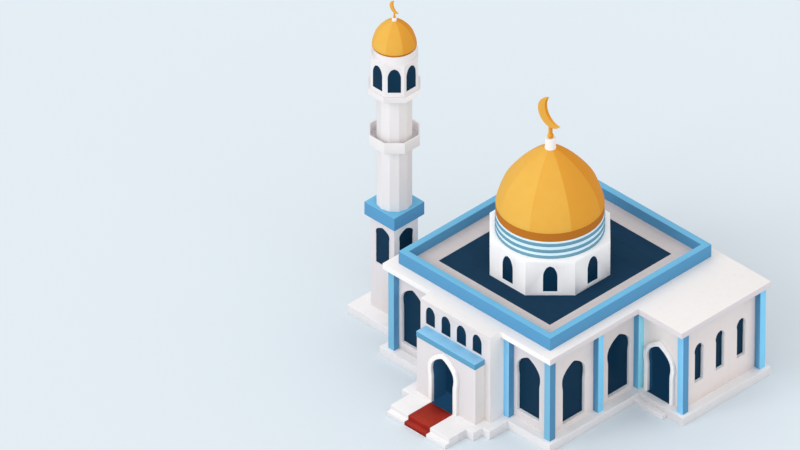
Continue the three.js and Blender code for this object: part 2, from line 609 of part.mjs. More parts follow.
function buildMinaret() {
  const minaret = new THREE.Group();
  minaret.position.set(MINARET_X, MINARET_Y, 0);
  mosque.add(minaret);

  const baseInner = MINARET_BASE - MINARET_BASE_WALL;
  const square = polygonRing(4, MINARET_BASE, baseInner);
  const bars = [0, 1].map((i) => windowCutter(MINARET_WINDOW, MINARET_SILL, 1.3 * MINARET_BASE, i * Math.PI / 2));
  add('minaret_base', cut(raise(square, FLOOR, CAPITAL_BOTTOM), bars), plaster, minaret);
  add('minaret_base_glass', raise(polygonRing(4, baseInner - FIT_GAP, baseInner - FIT_GAP - GLASS_THICK),
    MINARET_SILL - GLASS_LAP, MINARET_SILL + MINARET_WINDOW.height + GLASS_LAP), glass, minaret);

  const capital = outline(polygon(4, CAPITAL_HALF));
  const eye = new THREE.Path();
  eye.absarc(0, 0, baseInner - 50, 0, 2 * Math.PI, true);
  capital.holes.push(eye);
  add('minaret_capital', raise(capital, CAPITAL_BOTTOM, CAPITAL_TOP), blue, minaret);

  const shaft = polygonRing(12, SHAFT_APOTHEM, SHAFT_APOTHEM - SHAFT_WALL, SHAFT_TURN);
  add('minaret_shaft', raise(shaft, CAPITAL_TOP, RING_BOTTOM), plaster, minaret);

  const floor = outline(polygon(8, GALLERY_APOTHEM));
  floor.holes.push(outline(polygon(12, SHAFT_APOTHEM + FIT_GAP, SHAFT_TURN)));
  add('minaret_gallery', join([
    raise(floor, GALLERY_BOTTOM, GALLERY_FLOOR),
    raise(polygonRing(8, GALLERY_APOTHEM, GALLERY_APOTHEM - GALLERY_PARAPET), GALLERY_BOTTOM + 20, GALLERY_TOP),
  ]), plaster, minaret);

  const ring = outline(polygon(8, RING_APOTHEM));
  ring.holes.push(outline(polygon(8, SHAFT_APOTHEM - SHAFT_WALL)));
  const collar = new THREE.Shape();
  collar.absarc(0, 0, COLLAR_RADIUS, 0, 2 * Math.PI, false);
  const collarEye = new THREE.Path();
  collarEye.absarc(0, 0, COLLAR_INNER, 0, 2 * Math.PI, true);
  collar.holes.push(collarEye);
  const inner = LANTERN_APOTHEM - LANTERN_WALL;
  const lantern = join([
    raise(ring, RING_BOTTOM, RING_TOP),
    raise(polygonRing(8, LANTERN_APOTHEM, inner), RING_TOP - 20, LANTERN_TOP),
    raise(collar, LANTERN_TOP - 60, COLLAR_TOP),
  ]);
  const lanternBars = [0, 1, 2, 3].map((i) => windowCutter(
    LANTERN_WINDOW, LANTERN_SILL, 1.3 * LANTERN_APOTHEM, i * Math.PI / 4));
  add('minaret_lantern', cut(lantern, lanternBars), plaster, minaret);
  add('lantern_glass', raise(polygonRing(8, inner - FIT_GAP, inner - FIT_GAP - GLASS_THICK),
    RING_TOP, LANTERN_TOP - 60 - FIT_GAP), glass, minaret);

  const dome = add('minaret_dome', domeGeometry(SMALL_DOME, 32), gold, minaret);
  dome.position.z = COLLAR_TOP;

  const turned = [[0, 0], [112, 0], [112, 150], [98, 170], [52, 170], [62, 215], [52, 262],
    [36, 280], [36, 560], [0, 560]];
  const finial = add('minaret_finial', finialGeometry(turned, 320, 65, 115, 800), gold, minaret);
  finial.position.z = COLLAR_TOP + seatHeight(SMALL_DOME);
}

buildPlinths();
buildHallWalls();
buildAnnex();
buildPortal();
buildPilasters();
buildRoofs();
buildDome();
buildMinaret();

export default mosque;
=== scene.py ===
# A small domed mosque with an entrance portal, a side annex and one free-standing minaret

import math

import bmesh
import bpy
from mathutils import Matrix, Vector


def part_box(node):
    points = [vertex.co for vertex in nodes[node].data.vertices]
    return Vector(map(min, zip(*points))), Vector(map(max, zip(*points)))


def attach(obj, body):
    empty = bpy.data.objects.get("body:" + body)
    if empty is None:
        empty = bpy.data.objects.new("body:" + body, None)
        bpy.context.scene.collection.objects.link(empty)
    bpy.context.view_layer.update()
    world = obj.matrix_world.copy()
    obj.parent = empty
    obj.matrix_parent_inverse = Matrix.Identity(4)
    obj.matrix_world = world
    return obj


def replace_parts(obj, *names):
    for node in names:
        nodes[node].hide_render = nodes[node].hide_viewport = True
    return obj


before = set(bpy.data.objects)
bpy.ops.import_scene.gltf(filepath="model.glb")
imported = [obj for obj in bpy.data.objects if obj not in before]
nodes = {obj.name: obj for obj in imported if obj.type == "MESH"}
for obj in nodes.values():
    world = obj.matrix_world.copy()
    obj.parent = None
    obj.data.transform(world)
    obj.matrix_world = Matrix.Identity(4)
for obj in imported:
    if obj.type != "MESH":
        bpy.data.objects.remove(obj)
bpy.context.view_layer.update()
scene = bpy.context.scene

# The camera
# A long lens looks down on the front right corner, as an isometric drawing does.
# It aims at a point left of the portal, high enough to take in the minaret's crescent.
azimuth = math.radians(45)
elevation = math.radians(35.264)
back = Vector((
    math.sin(azimuth) * math.cos(elevation),
    -math.cos(azimuth) * math.cos(elevation),
    math.sin(elevation),
))
aim = Vector((-5.61, -4.336, 6.475))
frame_width = 36.29
optics = bpy.data.cameras.new("camera")
optics.lens = 900
optics.sensor_width = 36
optics.clip_start = 100
optics.clip_end = 3000
camera = bpy.data.objects.new("camera", optics)
camera.location = aim + back * (frame_width * optics.lens / optics.sensor_width)
camera.rotation_euler = back.to_track_quat("Z", "Y").to_euler()
scene.collection.objects.link(camera)
scene.camera = camera


# The studio
# A plain pale floor lies under an even white sky.
# A soft lamp shines from the front, a little from the left, and a weak one fills in from the right.
def paint(red, green, blue):
    """A colour given as on a paint card, 0 to 255, on the renderer's linear scale."""
    shares = [value / 255 for value in (red, green, blue)]
    linear = [s / 12.92 if s <= 0.04045 else ((s + 0.055) / 1.055) ** 2.4 for s in shares]
    return (*linear, 1)


def as_object(name, shape):
    """The bmesh as an object at the origin."""
    mesh = bpy.data.meshes.new(name)
    shape.to_mesh(mesh)
    shape.free()
    made = bpy.data.objects.new(name, mesh)
    scene.collection.objects.link(made)
    return made


floor_half = 300
ground = bmesh.new()
bmesh.ops.create_grid(ground, x_segments=1, y_segments=1, size=floor_half)
floor = as_object("floor", ground)
floor_paint = bpy.data.materials.new("studio_floor")
floor_paint.use_nodes = True
floor_shader = floor_paint.node_tree.nodes["Principled BSDF"]
floor_shader.inputs["Base Color"].default_value = paint(218, 228, 235)
floor_shader.inputs["Roughness"].default_value = 1
floor_shader.inputs["Specular IOR Level"].default_value = 0
floor.data.materials.append(floor_paint)

sky = bpy.data.worlds.new("sky")
sky.use_nodes = True
sky.node_tree.nodes["Background"].inputs["Color"].default_value = (1, 0.99, 0.985, 1)
sky.node_tree.nodes["Background"].inputs["Strength"].default_value = 0.9
scene.world = sky


def add_sun(name, energy, spread, direction):
    """A far, soft lamp that shines from one direction."""
    lamp = bpy.data.lights.new(name, "SUN")
    lamp.energy = energy
    lamp.angle = math.radians(spread)
    holder = bpy.data.objects.new(name, lamp)
    holder.rotation_euler = Vector(direction).to_track_quat("Z", "Y").to_euler()
    scene.collection.objects.link(holder)


add_sun("key", energy=0.9, spread=30, direction=(-0.22, -0.82, 0.53))
add_sun("fill", energy=0.42, spread=70, direction=(0.75, -0.5, 0.45))
scene.view_settings.view_transform = "Standard"
scene.view_settings.look = "None"


# The plinth, its steps and the landing
# Pale stone slabs on a solid base, with narrow joints.
# The minaret's own plinth and the entrance steps are bedded against the main one.
weld_reach = 5e-5
flat_within = math.radians(0.3)


def merged(name):
    """A node's solid as a closed bmesh, its loose triangles joined at their corners."""
    shell = bmesh.new()
    shell.from_mesh(nodes[name].data)
    bmesh.ops.remove_doubles(shell, verts=shell.verts, dist=weld_reach)
    return shell


def welded(name, node_names):
    """The solids of several nodes as one body, with no seams left between them."""
    body = as_object(name, merged(node_names[0]))
    if len(node_names) > 1:
        others = bpy.data.collections.new(name + "_parts")
        scene.collection.children.link(others)
        copies = [as_object(other + "_copy", merged(other)) for other in node_names[1:]]
        for copy in copies:
            others.objects.link(copy)
        union = body.modifiers.new("union", "BOOLEAN")
        union.operation = "UNION"
        union.operand_type = "COLLECTION"
        union.collection = others
        union.solver = "EXACT"
        depsgraph = bpy.context.evaluated_depsgraph_get()
        body.data = bpy.data.meshes.new_from_object(body.evaluated_get(depsgraph))
        body.modifiers.clear()
        for copy in copies:
            bpy.data.objects.remove(copy)
        bpy.data.collections.remove(others)
    whole = bmesh.new()
    whole.from_mesh(body.data)
    bmesh.ops.remove_doubles(whole, verts=whole.verts, dist=weld_reach)
    bmesh.ops.dissolve_limit(whole, angle_limit=flat_within, verts=whole.verts, edges=whole.edges)
    whole.to_mesh(body.data)
    whole.free()
    body.data.materials.clear()
    return body


def shade_smooth(piece):
    """Smooth shading all over a piece."""
    for face in piece.data.polygons:
        face.use_smooth = True


def soften(piece, width, segments=2):
    """Rounded arrises of one width on every sharp corner."""
    shade_smooth(piece)
    arris = piece.modifiers.new("arris", "BEVEL")
    arris.width = width
    arris.segments = segments
    arris.limit_method = "ANGLE"
    arris.angle_limit = math.radians(20)
    arris.harden_normals = True


def fit(piece, finish):
    """Gives a piece its finish and its place on the building."""
    piece.data.materials.append(finish)
    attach(piece, "root")
    return piece


def dressed(name, node_names, finish, width=0.012):
    """One finished body that stands in the place of the nodes that it names."""
    piece = fit(welded(name, node_names), finish)
    soften(piece, width)
    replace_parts(piece, *node_names)
    return piece


def repaint(piece, finish, chosen):
    """A second finish on the faces that are chosen by their middle and their direction."""
    piece.data.materials.append(finish)
    for face in piece.data.polygons:
        if chosen(face.center, face.normal):
            face.material_index = len(piece.data.materials) - 1


def new_finish(name, roughness, specular=0.5):
    """An empty finish with its node tree, shader and the place on the piece."""
    finish = bpy.data.materials.new(name)
    finish.use_nodes = True
    tree = finish.node_tree
    shader = tree.nodes["Principled BSDF"]
    shader.inputs["Roughness"].default_value = roughness
    shader.inputs["Specular IOR Level"].default_value = specular
    place = tree.nodes.new("ShaderNodeTexCoord").outputs["Object"]
    return finish, tree, shader, place


def noise(tree, place, scale, detail, stretch=(1, 1, 1)):
    """Soft noise with so many patches a metre, drawn out where stretch is small."""
    mapping = tree.nodes.new("ShaderNodeMapping")
    mapping.inputs["Scale"].default_value = stretch
    tree.links.new(place, mapping.inputs["Vector"])
    cloud = tree.nodes.new("ShaderNodeTexNoise")
    cloud.inputs["Scale"].default_value = scale
    cloud.inputs["Detail"].default_value = detail
    tree.links.new(mapping.outputs["Vector"], cloud.inputs["Vector"])
    return cloud.outputs["Fac"]


def ramp(tree, source, low, high):
    """A share that rises from 0 at low to 1 at high."""
    spread = tree.nodes.new("ShaderNodeMapRange")
    spread.inputs["From Min"].default_value = low
    spread.inputs["From Max"].default_value = high
    tree.links.new(source, spread.inputs["Value"])
    return spread.outputs["Result"]


def patches(tree, place, scale, detail, low, high, stretch=(1, 1, 1)):
    """A share that comes and goes in soft patches, so many a metre."""
    return ramp(tree, noise(tree, place, scale, detail, stretch), low, high)


def blend_colours(tree, share, first, second):
    """Between two colours, each a fixed value or a socket."""
    mix = tree.nodes.new("ShaderNodeMix")
    mix.data_type = "RGBA"
    tree.links.new(share, mix.inputs["Factor"])
    for socket, colour in ((mix.inputs[6], first), (mix.inputs[7], second)):
        if isinstance(colour, bpy.types.NodeSocket):
            tree.links.new(colour, socket)
        else:
            socket.default_value = colour
    return mix.outputs[2]


def reckon(tree, operation, first, second=0):
    """One step of arithmetic on a value and another value or number."""
    step = tree.nodes.new("ShaderNodeMath")
    step.operation = operation
    tree.links.new(first, step.inputs[0])
    if isinstance(second, bpy.types.NodeSocket):
        tree.links.new(second, step.inputs[1])
    else:
        step.inputs[1].default_value = second
    return step.outputs["Value"]


def product(tree, first, second):
    """A share multiplied by another share or by a number."""
    return reckon(tree, "MULTIPLY", first, second)


def relief(tree, shader, height, depth):
    """A surface that stands in and out by depth, in metres."""
    bump = tree.nodes.new("ShaderNodeBump")
    bump.inputs["Strength"].default_value = 0.6
    bump.inputs["Distance"].default_value = depth
    tree.links.new(height, bump.inputs["Height"])
    tree.links.new(bump.outputs["Normal"], shader.inputs["Normal"])


def facing(tree, direction, low, high):
    """A share that rises as a face turns towards a direction on the building."""
    geometry = tree.nodes.new("ShaderNodeNewGeometry")
    dot = tree.nodes.new("ShaderNodeVectorMath")
    dot.operation = "DOT_PRODUCT"
    tree.links.new(geometry.outputs["Normal"], dot.inputs[0])
    dot.inputs[1].default_value = Vector(direction).normalized()
    return ramp(tree, dot.outputs["Value"], low, high)


def along(tree, place, axis, low, high):
    """A share that rises along one axis of the building, from low to high in metres."""
    parts = tree.nodes.new("ShaderNodeSeparateXYZ")
    tree.links.new(place, parts.inputs["Vector"])
    return ramp(tree, parts.outputs[axis], low, high)


def slabs(tree, place, size, tones, joint, joint_width=0.004, offset=0.5):
    """Slabs of one size in two near tones, with narrow joints."""
    laid = tree.nodes.new("ShaderNodeTexBrick")
    laid.offset = offset
    laid.inputs["Scale"].default_value = 1
    laid.inputs["Brick Width"].default_value = size[0]
    laid.inputs["Row Height"].default_value = size[1]
    laid.inputs["Mortar Size"].default_value = joint_width
    laid.inputs["Mortar Smooth"].default_value = 0.3
    laid.inputs["Color1"].default_value = tones[0]
    laid.inputs["Color2"].default_value = tones[1]
    laid.inputs["Mortar"].default_value = joint
    tree.links.new(place, laid.inputs["Vector"])
    return laid.outputs["Color"]


def slab_stone():
    """Slabs of 1.2 by 0.8 m with weathered patches, a little darker on their risers as painted shade."""
    finish, tree, shader, place = new_finish("slab_stone", 0.8)
    tones = (paint(242, 241, 242), paint(238, 237, 238))
    laid = slabs(tree, place, (1.2, 0.8), tones, joint=paint(220, 217, 218))
    weathered = product(tree, patches(tree, place, 0.7, 4, 0.45, 0.75), 0.3)
    toned = blend_colours(tree, weathered, laid, paint(226, 223, 222))
    # Painted shade: the risers are darker than the tops.
    sides = product(tree, facing(tree, (0, 0, 1), 0.8, 0.3), 0.5)
    tree.links.new(blend_colours(tree, sides, toned, paint(206, 203, 205)), shader.inputs["Base Color"])
    relief(tree, shader, noise(tree, place, 90, 4), 0.002)
    return finish


stone = slab_stone()
stone_arris = 0.02
bedded_together = ["main_plinth", "minaret_plinth", "entrance_steps"]
dressed("plinth_and_steps", bedded_together, stone, stone_arris)
dressed("annex_step", ["side_step"], stone, stone_arris)


# The walls, the portal and the roof slabs
# Brick walls and cast slabs under one coat of lime render, floated smooth.
# The slabs, sills and surrounds are limewashed a brighter white, faces in shade get lighter tones as
# painted light, and the rooms a dark blue as painted shade.
splash_top = 0.95
splash_foot = 0.44


def lime_render(name, first, second, direction=None, turned=None):
    """Render in two near tones, and in a third on the faces that turn in a direction, as painted light and
    shade.
    """
    finish, tree, shader, place = new_finish(name, 0.85, 0.3)
    coat = blend_colours(tree, patches(tree, place, 0.5, 5, 0.35, 0.8), first, second)
    if direction:
        # Painted light and shade: the faces that turn in the given direction take the third tone.
        coat = blend_colours(tree, facing(tree, direction, 0.1, 0.6), coat, turned)
    runs = patches(tree, place, 5, 4, 0.55, 0.85, stretch=(1, 1, 0.06))
    streaked = blend_colours(tree, product(tree, runs, 0.18), coat, paint(206, 200, 198))
    near_ground = along(tree, place, "Z", splash_top, splash_foot)
    splashed = product(tree, near_ground, patches(tree, place, 3, 5, 0.3, 0.7))
    dusty = blend_colours(tree, product(tree, splashed, 0.3), streaked, paint(200, 192, 186))
    tree.links.new(dusty, shader.inputs["Base Color"])
    relief(tree, shader, noise(tree, place, 45, 6), 0.004)
    return finish


def room_shade_blue():
    """Painted shade and light: a dark blue for the dark of the rooms, and a faint even painted glow that
    stands for the daylight that the windows let in.
    """
    finish, tree, shader, place = new_finish("room_shade_blue", 0.9, 0.1)
    brushed = patches(tree, place, 1.2, 4, 0.35, 0.8)
    toned = blend_colours(tree, brushed, paint(27, 64, 92), paint(23, 58, 85))
    tree.links.new(toned, shader.inputs["Base Color"])
    # Painted light: the rooms glow faintly, though they hold no lamp.
    shader.inputs["Emission Color"].default_value = paint(18, 47, 69)
    shader.inputs["Emission Strength"].default_value = 1
    relief(tree, shader, noise(tree, place, 45, 6), 0.003)
    return finish


# The inner and outer faces of the walls, and the edges of the two doorways
hall_x, hall_face_x = (corner.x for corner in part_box("right_wall"))
hall_y, hall_face_y = (corner.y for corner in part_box("back_wall"))
annex_x, annex_face_x = (corner.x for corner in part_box("annex_right_wall"))
annex_face_y, annex_y = (corner.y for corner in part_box("annex_front_arch"))
porch_face_y, vestibule_y = (corner.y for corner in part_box("portal_front"))
vestibule_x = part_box("portal_front")[1].x
portal_face_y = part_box("portal_roof")[0].y
portal_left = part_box("portal_pier_left")[1].x
portal_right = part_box("portal_pier_right")[0].x
annex_door_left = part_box("annex_front_pier_left")[1].x
annex_door_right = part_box("annex_front_pier_right")[0].x
slab_front, slab_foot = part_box("hall_roof_slab")[0].yz

# How near a face lies to a surface that it belongs to, how far the doors' arches swell out,
# and how far the portal's reveal reaches from the middle of its opening
skin = 0.005
room_reach = 0.015
door_swell = 0.08
reveal_half = 0.78

# The rooms and doorways, each as its ends across and its ends from front to back
hall_room = ((-hall_x - room_reach, hall_x + room_reach), (-hall_y - room_reach, hall_y + room_reach))
annex_room = ((hall_x, annex_x + room_reach), (annex_y - room_reach, hall_y + room_reach))
annex_doorway = ((annex_door_left - door_swell, annex_door_right + door_swell),
                 (annex_face_y + skin, annex_y + room_reach))
vestibule = ((-vestibule_x - room_reach, vestibule_x + room_reach), (vestibule_y - room_reach, -hall_y))
portal_doorway = ((portal_left - door_swell, portal_right + door_swell),
                  (porch_face_y + skin, vestibule_y + room_reach))


def between(value, ends):
    return ends[0] < value < ends[1]


def in_rooms(middle, normal):
    """Inside the hall, the annex, the vestibule or one of the two doorways."""
    rooms = [hall_room, annex_room, annex_doorway, vestibule]
    if abs(normal.y) < 0.5:
        rooms.append(portal_doorway)
    inside = any(between(middle.x, across) and between(middle.y, deep) for across, deep in rooms)
    return inside and middle.z < slab_foot + skin


def on_slab(middle):
    """On the roof slabs of the hall and the annex."""
    return middle.z > slab_foot - skin and middle.y > slab_front - skin


def limewashed(middle, normal):
    """The roof slabs, the sills, and the portal's cheeks, which are whitened as painted light."""
    cheek = normal.x > 0.5 and middle.y < -hall_face_y
    return on_slab(middle) or normal.z > 0.5 or cheek


def painted_light_faces(middle, normal):
    """The windows' jambs and sills in the walls that show, and the portal's roof, whitened as painted light
    against the shade on them.
    """
    if middle.z > slab_foot - skin:
        return normal.z > 0.5 and middle.y < -hall_face_y
    in_right_wall = between(middle.x, (hall_x + skin, hall_face_x - skin))
    in_annex_wall = between(middle.x, (annex_x + skin, annex_face_x - skin))
    in_front_wall = between(middle.y, (skin - hall_face_y, -hall_y - skin))
    right_reveal = abs(normal.x) < 0.5 and (in_right_wall or in_annex_wall)
    return right_reveal or (abs(normal.y) < 0.5 and in_front_wall)


def slab_edges(middle, normal):
    """The edges on the right, and the annex slab's front edge, painted darker as painted shade."""
    annex_edge = normal.y < -0.5 and middle.x > hall_face_x
    return on_slab(middle) and (normal.x > 0.5 or annex_edge)


def porch_side(middle, normal):
    """The right cheek of the porch, in a tone of its own as painted light and shade."""
    return normal.x > 0.5 and between(middle.y, (porch_face_y + skin, portal_face_y - skin))


def annex_front(middle, normal):
    """The annex's front wall under its slab, painted lighter and warmer as painted light in the hall's
    shade.
    """
    on_front = normal.y < -0.5 and abs(middle.y - annex_face_y) < skin
    return on_front and middle.x > hall_face_x and not on_slab(middle)


def portal_reveal(middle, normal):
    """The jambs and the soffit of the portal's opening, whitened as painted light in their shade."""
    from_middle = abs(middle.x - (portal_left + portal_right) / 2)
    return abs(normal.y) < 0.5 and from_middle < reveal_half


# Painted light and shade: the render is lighter on faces that turn right, the limewash a little darker on
# tops.
wall_render = lime_render("wall_render", paint(220, 215, 217), paint(216, 211, 213),
                          direction=(1, 0, 0), turned=paint(234, 223, 220))
limewash = lime_render("limewash", paint(243, 240, 239), paint(240, 237, 236),
                       direction=(0, 0, 1), turned=paint(237, 234, 233))
# Painted shade: the slabs' right edges and the annex slab's front edge are darker.
slab_edge = lime_render("slab_edge", paint(222, 214, 216), paint(219, 211, 213))
# Painted light: the annex front, in the hall's shade, is lighter and warmer.
annex_painted_light = lime_render("annex_painted_light", paint(240, 232, 228), paint(237, 229, 225))
# Painted light and shade: the porch's right cheek has a tone of its own.
porch_render = lime_render("porch_render", paint(228, 222, 219), paint(225, 219, 216))
# A brighter white: the door surrounds' own trim, and painted light on faces in shade.
white_trim_and_painted_light = lime_render("white_trim_and_painted_light", paint(252, 250, 250), paint(249, 247, 247))
hall_and_annex = ["front_wall_left", "front_wall_right", "left_wall", "right_wall", "back_wall",
                  "annex_front_pier_left", "annex_front_pier_right", "annex_front_arch", "annex_right_wall"]
portal = ["portal_pier_left", "portal_pier_right", "portal_front", "portal_roof"]
roofs = ["hall_roof_slab", "annex_roof_slab"]
walls = dressed("rendered_walls", hall_and_annex + portal + roofs, wall_render)
repaint(walls, limewash, limewashed)
repaint(walls, slab_edge, slab_edges)
repaint(walls, annex_painted_light, annex_front)
repaint(walls, porch_render, porch_side)
repaint(walls, white_trim_and_painted_light, painted_light_faces)
# Painted shade: the rooms' inner faces are dark blue, with a faint painted glow.
repaint(walls, room_shade_blue(), in_rooms)
surround = dressed("portal_surround_coat", ["portal_door_surround"], limewash)
# Painted light: the portal's reveal is in the brighter white.
repaint(surround, white_trim_and_painted_light, portal_reveal)
# The annex surround: its own brighter trim, and painted light in the hall's shade.
dressed("annex_surround_coat", ["annex_door_surround"], white_trim_and_painted_light)


# The floor of the rooms
# Dark blue glazed tiles, 0.3 m square, are bedded on the plinth, their dark blue also painted shade for the
# rooms.
# They run through the hall, the vestibule and the annex, out to the foot of each door surround.
def floor_tiles(name, glow):
    """They glow about as faintly as the walls of the rooms do, as painted light, though they are no lamp.
    """
    finish, tree, shader, place = new_finish(name, 0.5, 0.1)
    tones = (paint(30, 66, 94), paint(33, 70, 99))
    laid = slabs(tree, place, (0.3, 0.3), tones, joint=paint(24, 55, 80), joint_width=0.003, offset=0)
    tree.links.new(laid, shader.inputs["Base Color"])
    shader.inputs["Emission Color"].default_value = glow
    shader.inputs["Emission Strength"].default_value = 1
    relief(tree, shader, noise(tree, place, 30, 3), 0.001)
    return finish


passage_end = -6.06


def beyond_passage(middle, normal):
    """On the floor of the rooms past the entrance passage."""
    return middle.y > passage_end


edge_gap = 0.001
tiled_x, tiled_y = hall_x - edge_gap, hall_y - edge_gap
tiled_annex_x, tiled_annex_y = annex_x - edge_gap, annex_y + edge_gap
tiled_vestibule_x = vestibule_x - edge_gap
threshold_nose = 0.015
portal_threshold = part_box("portal_door_surround")[0].y - threshold_nose
annex_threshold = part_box("annex_door_surround")[0].y
corners = [(portal_left, portal_threshold), (portal_right, portal_threshold), (portal_right, vestibule_y),
           (tiled_vestibule_x, vestibule_y), (tiled_vestibule_x, -tiled_y), (tiled_x, -tiled_y),
           (tiled_x, tiled_annex_y), (annex_door_left, tiled_annex_y), (annex_door_left, annex_threshold),
           (annex_door_right, annex_threshold), (annex_door_right, tiled_annex_y),
           (tiled_annex_x, tiled_annex_y), (tiled_annex_x, tiled_y), (-tiled_x, tiled_y),
           (-tiled_x, -tiled_y), (-tiled_vestibule_x, -tiled_y), (-tiled_vestibule_x, vestibule_y),
           (portal_left, vestibule_y)]
plinth_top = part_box("main_plinth")[1].z
bed = 0.0005
tile_thick = 0.0095
room_plan = bmesh.new()
room_plan.faces.new([room_plan.verts.new((x, y, plinth_top + bed + tile_thick)) for x, y in corners])
bmesh.ops.solidify(room_plan, geom=room_plan.faces[:], thickness=tile_thick)
bmesh.ops.bisect_plane(room_plan, geom=room_plan.verts[:] + room_plan.edges[:] + room_plan.faces[:],
                       plane_co=(0, passage_end, 0), plane_no=(0, 1, 0))
# Painted light: the tiles in the passage glow brighter than those in the rooms beyond.
passage_tiles = floor_tiles("passage_tiles", paint(26, 60, 87))
tiled_floor = fit(as_object("tiled_floor", room_plan), passage_tiles)
repaint(tiled_floor, floor_tiles("room_tiles", paint(15, 44, 66)), beyond_passage)


# The pilasters, the canopy over the door and the parapet
# Square posts stand against the walls, and copings and a canopy are cast in place on top.
# All are rendered and painted with blue mineral paint, lighter on the faces that turn to the light and
# darker on the others, as painted light and shade.
# The directions from which the blue's painted light falls.
front_sun = (-0.3, -0.8, 0.5)
right_sun = (0.95, -0.1, 0.3)
lit_blue = paint(116, 180, 211)


def blue_paint(name, in_shade, in_light, direction=front_sun, low=0.1, high=0.6):
    """Blue that turns from its shaded to its lit tone as a face turns to the light, as painted light and
    shade.
    """
    finish, tree, shader, place = new_finish(name, 0.65, 0.3)
    coat = blend_colours(tree, facing(tree, direction, low, high), in_shade, in_light)
    brushed = product(tree, patches(tree, place, 0.8, 5, 0.35, 0.8), 0.12)
    toned = blend_colours(tree, brushed, coat, paint(70, 140, 190))
    tree.links.new(toned, shader.inputs["Base Color"])
    relief(tree, shader, noise(tree, place, 60, 5), 0.003)
    return finish


# Painted light and shade: each post has its own copy of the blue, its tones set for the light that falls on
# it.
front_blue = blue_paint("front_blue", paint(86, 148, 190), lit_blue)
left_blue = blue_paint("left_blue", paint(96, 160, 204), lit_blue)
corner_blue = blue_paint("corner_blue", paint(80, 137, 175), lit_blue)
portal_blue = blue_paint("portal_blue", paint(86, 148, 190), paint(133, 203, 243))
right_blue = blue_paint("right_blue", paint(82, 140, 180), paint(134, 214, 252), right_sun)
inner_blue = blue_paint("inner_blue", paint(92, 162, 204), paint(158, 234, 255), right_sun)
# Painted light: the canopy's and the parapet's tops are lighter than their sides.
canopy_blue = blue_paint("canopy_blue", paint(88, 153, 188), paint(139, 200, 239), (0, 0, 1), 0.4, 0.8)
parapet_blue = blue_paint("parapet_blue", paint(82, 149, 193), paint(107, 181, 220), (0, 0, 1), 0.4, 0.8)
coping_arris = 0.015
own_blue = {"pilaster_front_left": left_blue, "pilaster_front_right": corner_blue,
            "pilaster_portal_right": portal_blue, "pilaster_annex_front": portal_blue,
            "pilaster_right_middle": right_blue, "pilaster_right_annex": inner_blue,
            "pilaster_annex_back": right_blue}
for post in sorted(name for name in nodes if name.startswith("pilaster_")):
    dressed(post + "_coat", [post], own_blue.get(post, front_blue))
dressed("canopy_coat", ["portal_canopy"], canopy_blue)
dressed("parapet_coat", ["roof_parapet"], parapet_blue, coping_arris)


# The roof inside the parapet
# Dark blue roofing felt is laid in rolls one metre wide.
# A border of pale grey tiles lies on it, along the foot of the parapet.
border_width = 0.94
border_thick = 0.014
felt_arris = 0.01


def roofing_felt():
    finish, tree, shader, place = new_finish("roofing_felt", 0.9, 0.1)
    tones = (paint(21, 56, 82), paint(20, 53, 78))
    rolls = slabs(tree, place, (8, 1), tones, joint=paint(16, 46, 69), joint_width=0.012)
    chalky = product(tree, patches(tree, place, 0.9, 5, 0.45, 0.8), 0.2)
    toned = blend_colours(tree, chalky, rolls, paint(34, 70, 96))
    tree.links.new(toned, shader.inputs["Base Color"])
    relief(tree, shader, noise(tree, place, 250, 3), 0.002)
    return finish


def border_tile():
    finish, tree, shader, place = new_finish("border_tile", 0.8, 0.3)
    tones = (paint(206, 199, 199), paint(203, 196, 196))
    tile = border_width / 2
    laid = slabs(tree, place, (tile, tile), tones, joint=paint(184, 177, 177), offset=0)
    tree.links.new(laid, shader.inputs["Base Color"])
    relief(tree, shader, noise(tree, place, 120, 4), 0.001)
    return finish


dressed("felt_roof", ["roof_deck"], roofing_felt(), felt_arris)
deck_low, deck_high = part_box("roof_deck")
border = bmesh.new()
bmesh.ops.create_grid(border, x_segments=1, y_segments=1, size=0.5)
bmesh.ops.scale(border, vec=(*(deck_high - deck_low).xy, 1), verts=border.verts)
bmesh.ops.translate(border, vec=(0, 0, deck_high.z + border_thick), verts=border.verts)
ring = bmesh.ops.inset_region(border, faces=border.faces[:], thickness=border_width,
                              use_boundary=True, use_even_offset=True)["faces"]
bmesh.ops.delete(border, geom=[face for face in border.faces if face not in ring], context="FACES")
bmesh.ops.solidify(border, geom=border.faces[:], thickness=border_thick)
fit(as_object("tile_border", border), border_tile())


# The windows
# Arched steel frames, enamelled dark blue, are screwed into the reveals. The small ones hold panes
# of tinted glass, and the others stand against one sheet of it that closes the wall inside.
def tinted_glass():
    finish, tree, shader, place = new_finish("tinted_glass", 0.25, 0.04)
    cloudy = patches(tree, place, 0.6, 2, 0.3, 0.8)
    toned = blend_colours(tree, cloudy, paint(13, 47, 70), paint(16, 51, 76))
    tree.links.new(toned, shader.inputs["Base Color"])
    return finish


def enamel():
    finish, tree, shader, place = new_finish("enamel", 0.45, 0.08)
    cloudy = patches(tree, place, 3, 3, 0.3, 0.8)
    toned = blend_colours(tree, cloudy, paint(19, 57, 84), paint(23, 63, 91))
    tree.links.new(toned, shader.inputs["Base Color"])
    relief(tree, shader, noise(tree, place, 200, 2), 0.0005)
    return finish


shoulder_share = 0.35
shoulder_curve = [(0.18, 0.33), (0.78, 0.67), (1, 1)]


def arch_points(half, height, swell, rise, crown):
    """An arch's outline from its left foot over the crown to its right foot, in metres.

    The jambs end below the top by the rise, and swell out there before the crown closes.
    """
    spring = height - rise
    shoulder = spring + (shoulder_share * rise if swell > 0 else 0)
    bulge = shoulder_curve if swell > 0 else []
    right = [(half, 0), (half, spring)]
    right += [(half + out * swell, spring + up * (shoulder - spring)) for out, up in bulge]
    right += [(out * (half + swell), shoulder + up * (height - shoulder)) for out, up in crown]
    return [(-u, v) for u, v in right] + [(0, height)] + right[::-1]


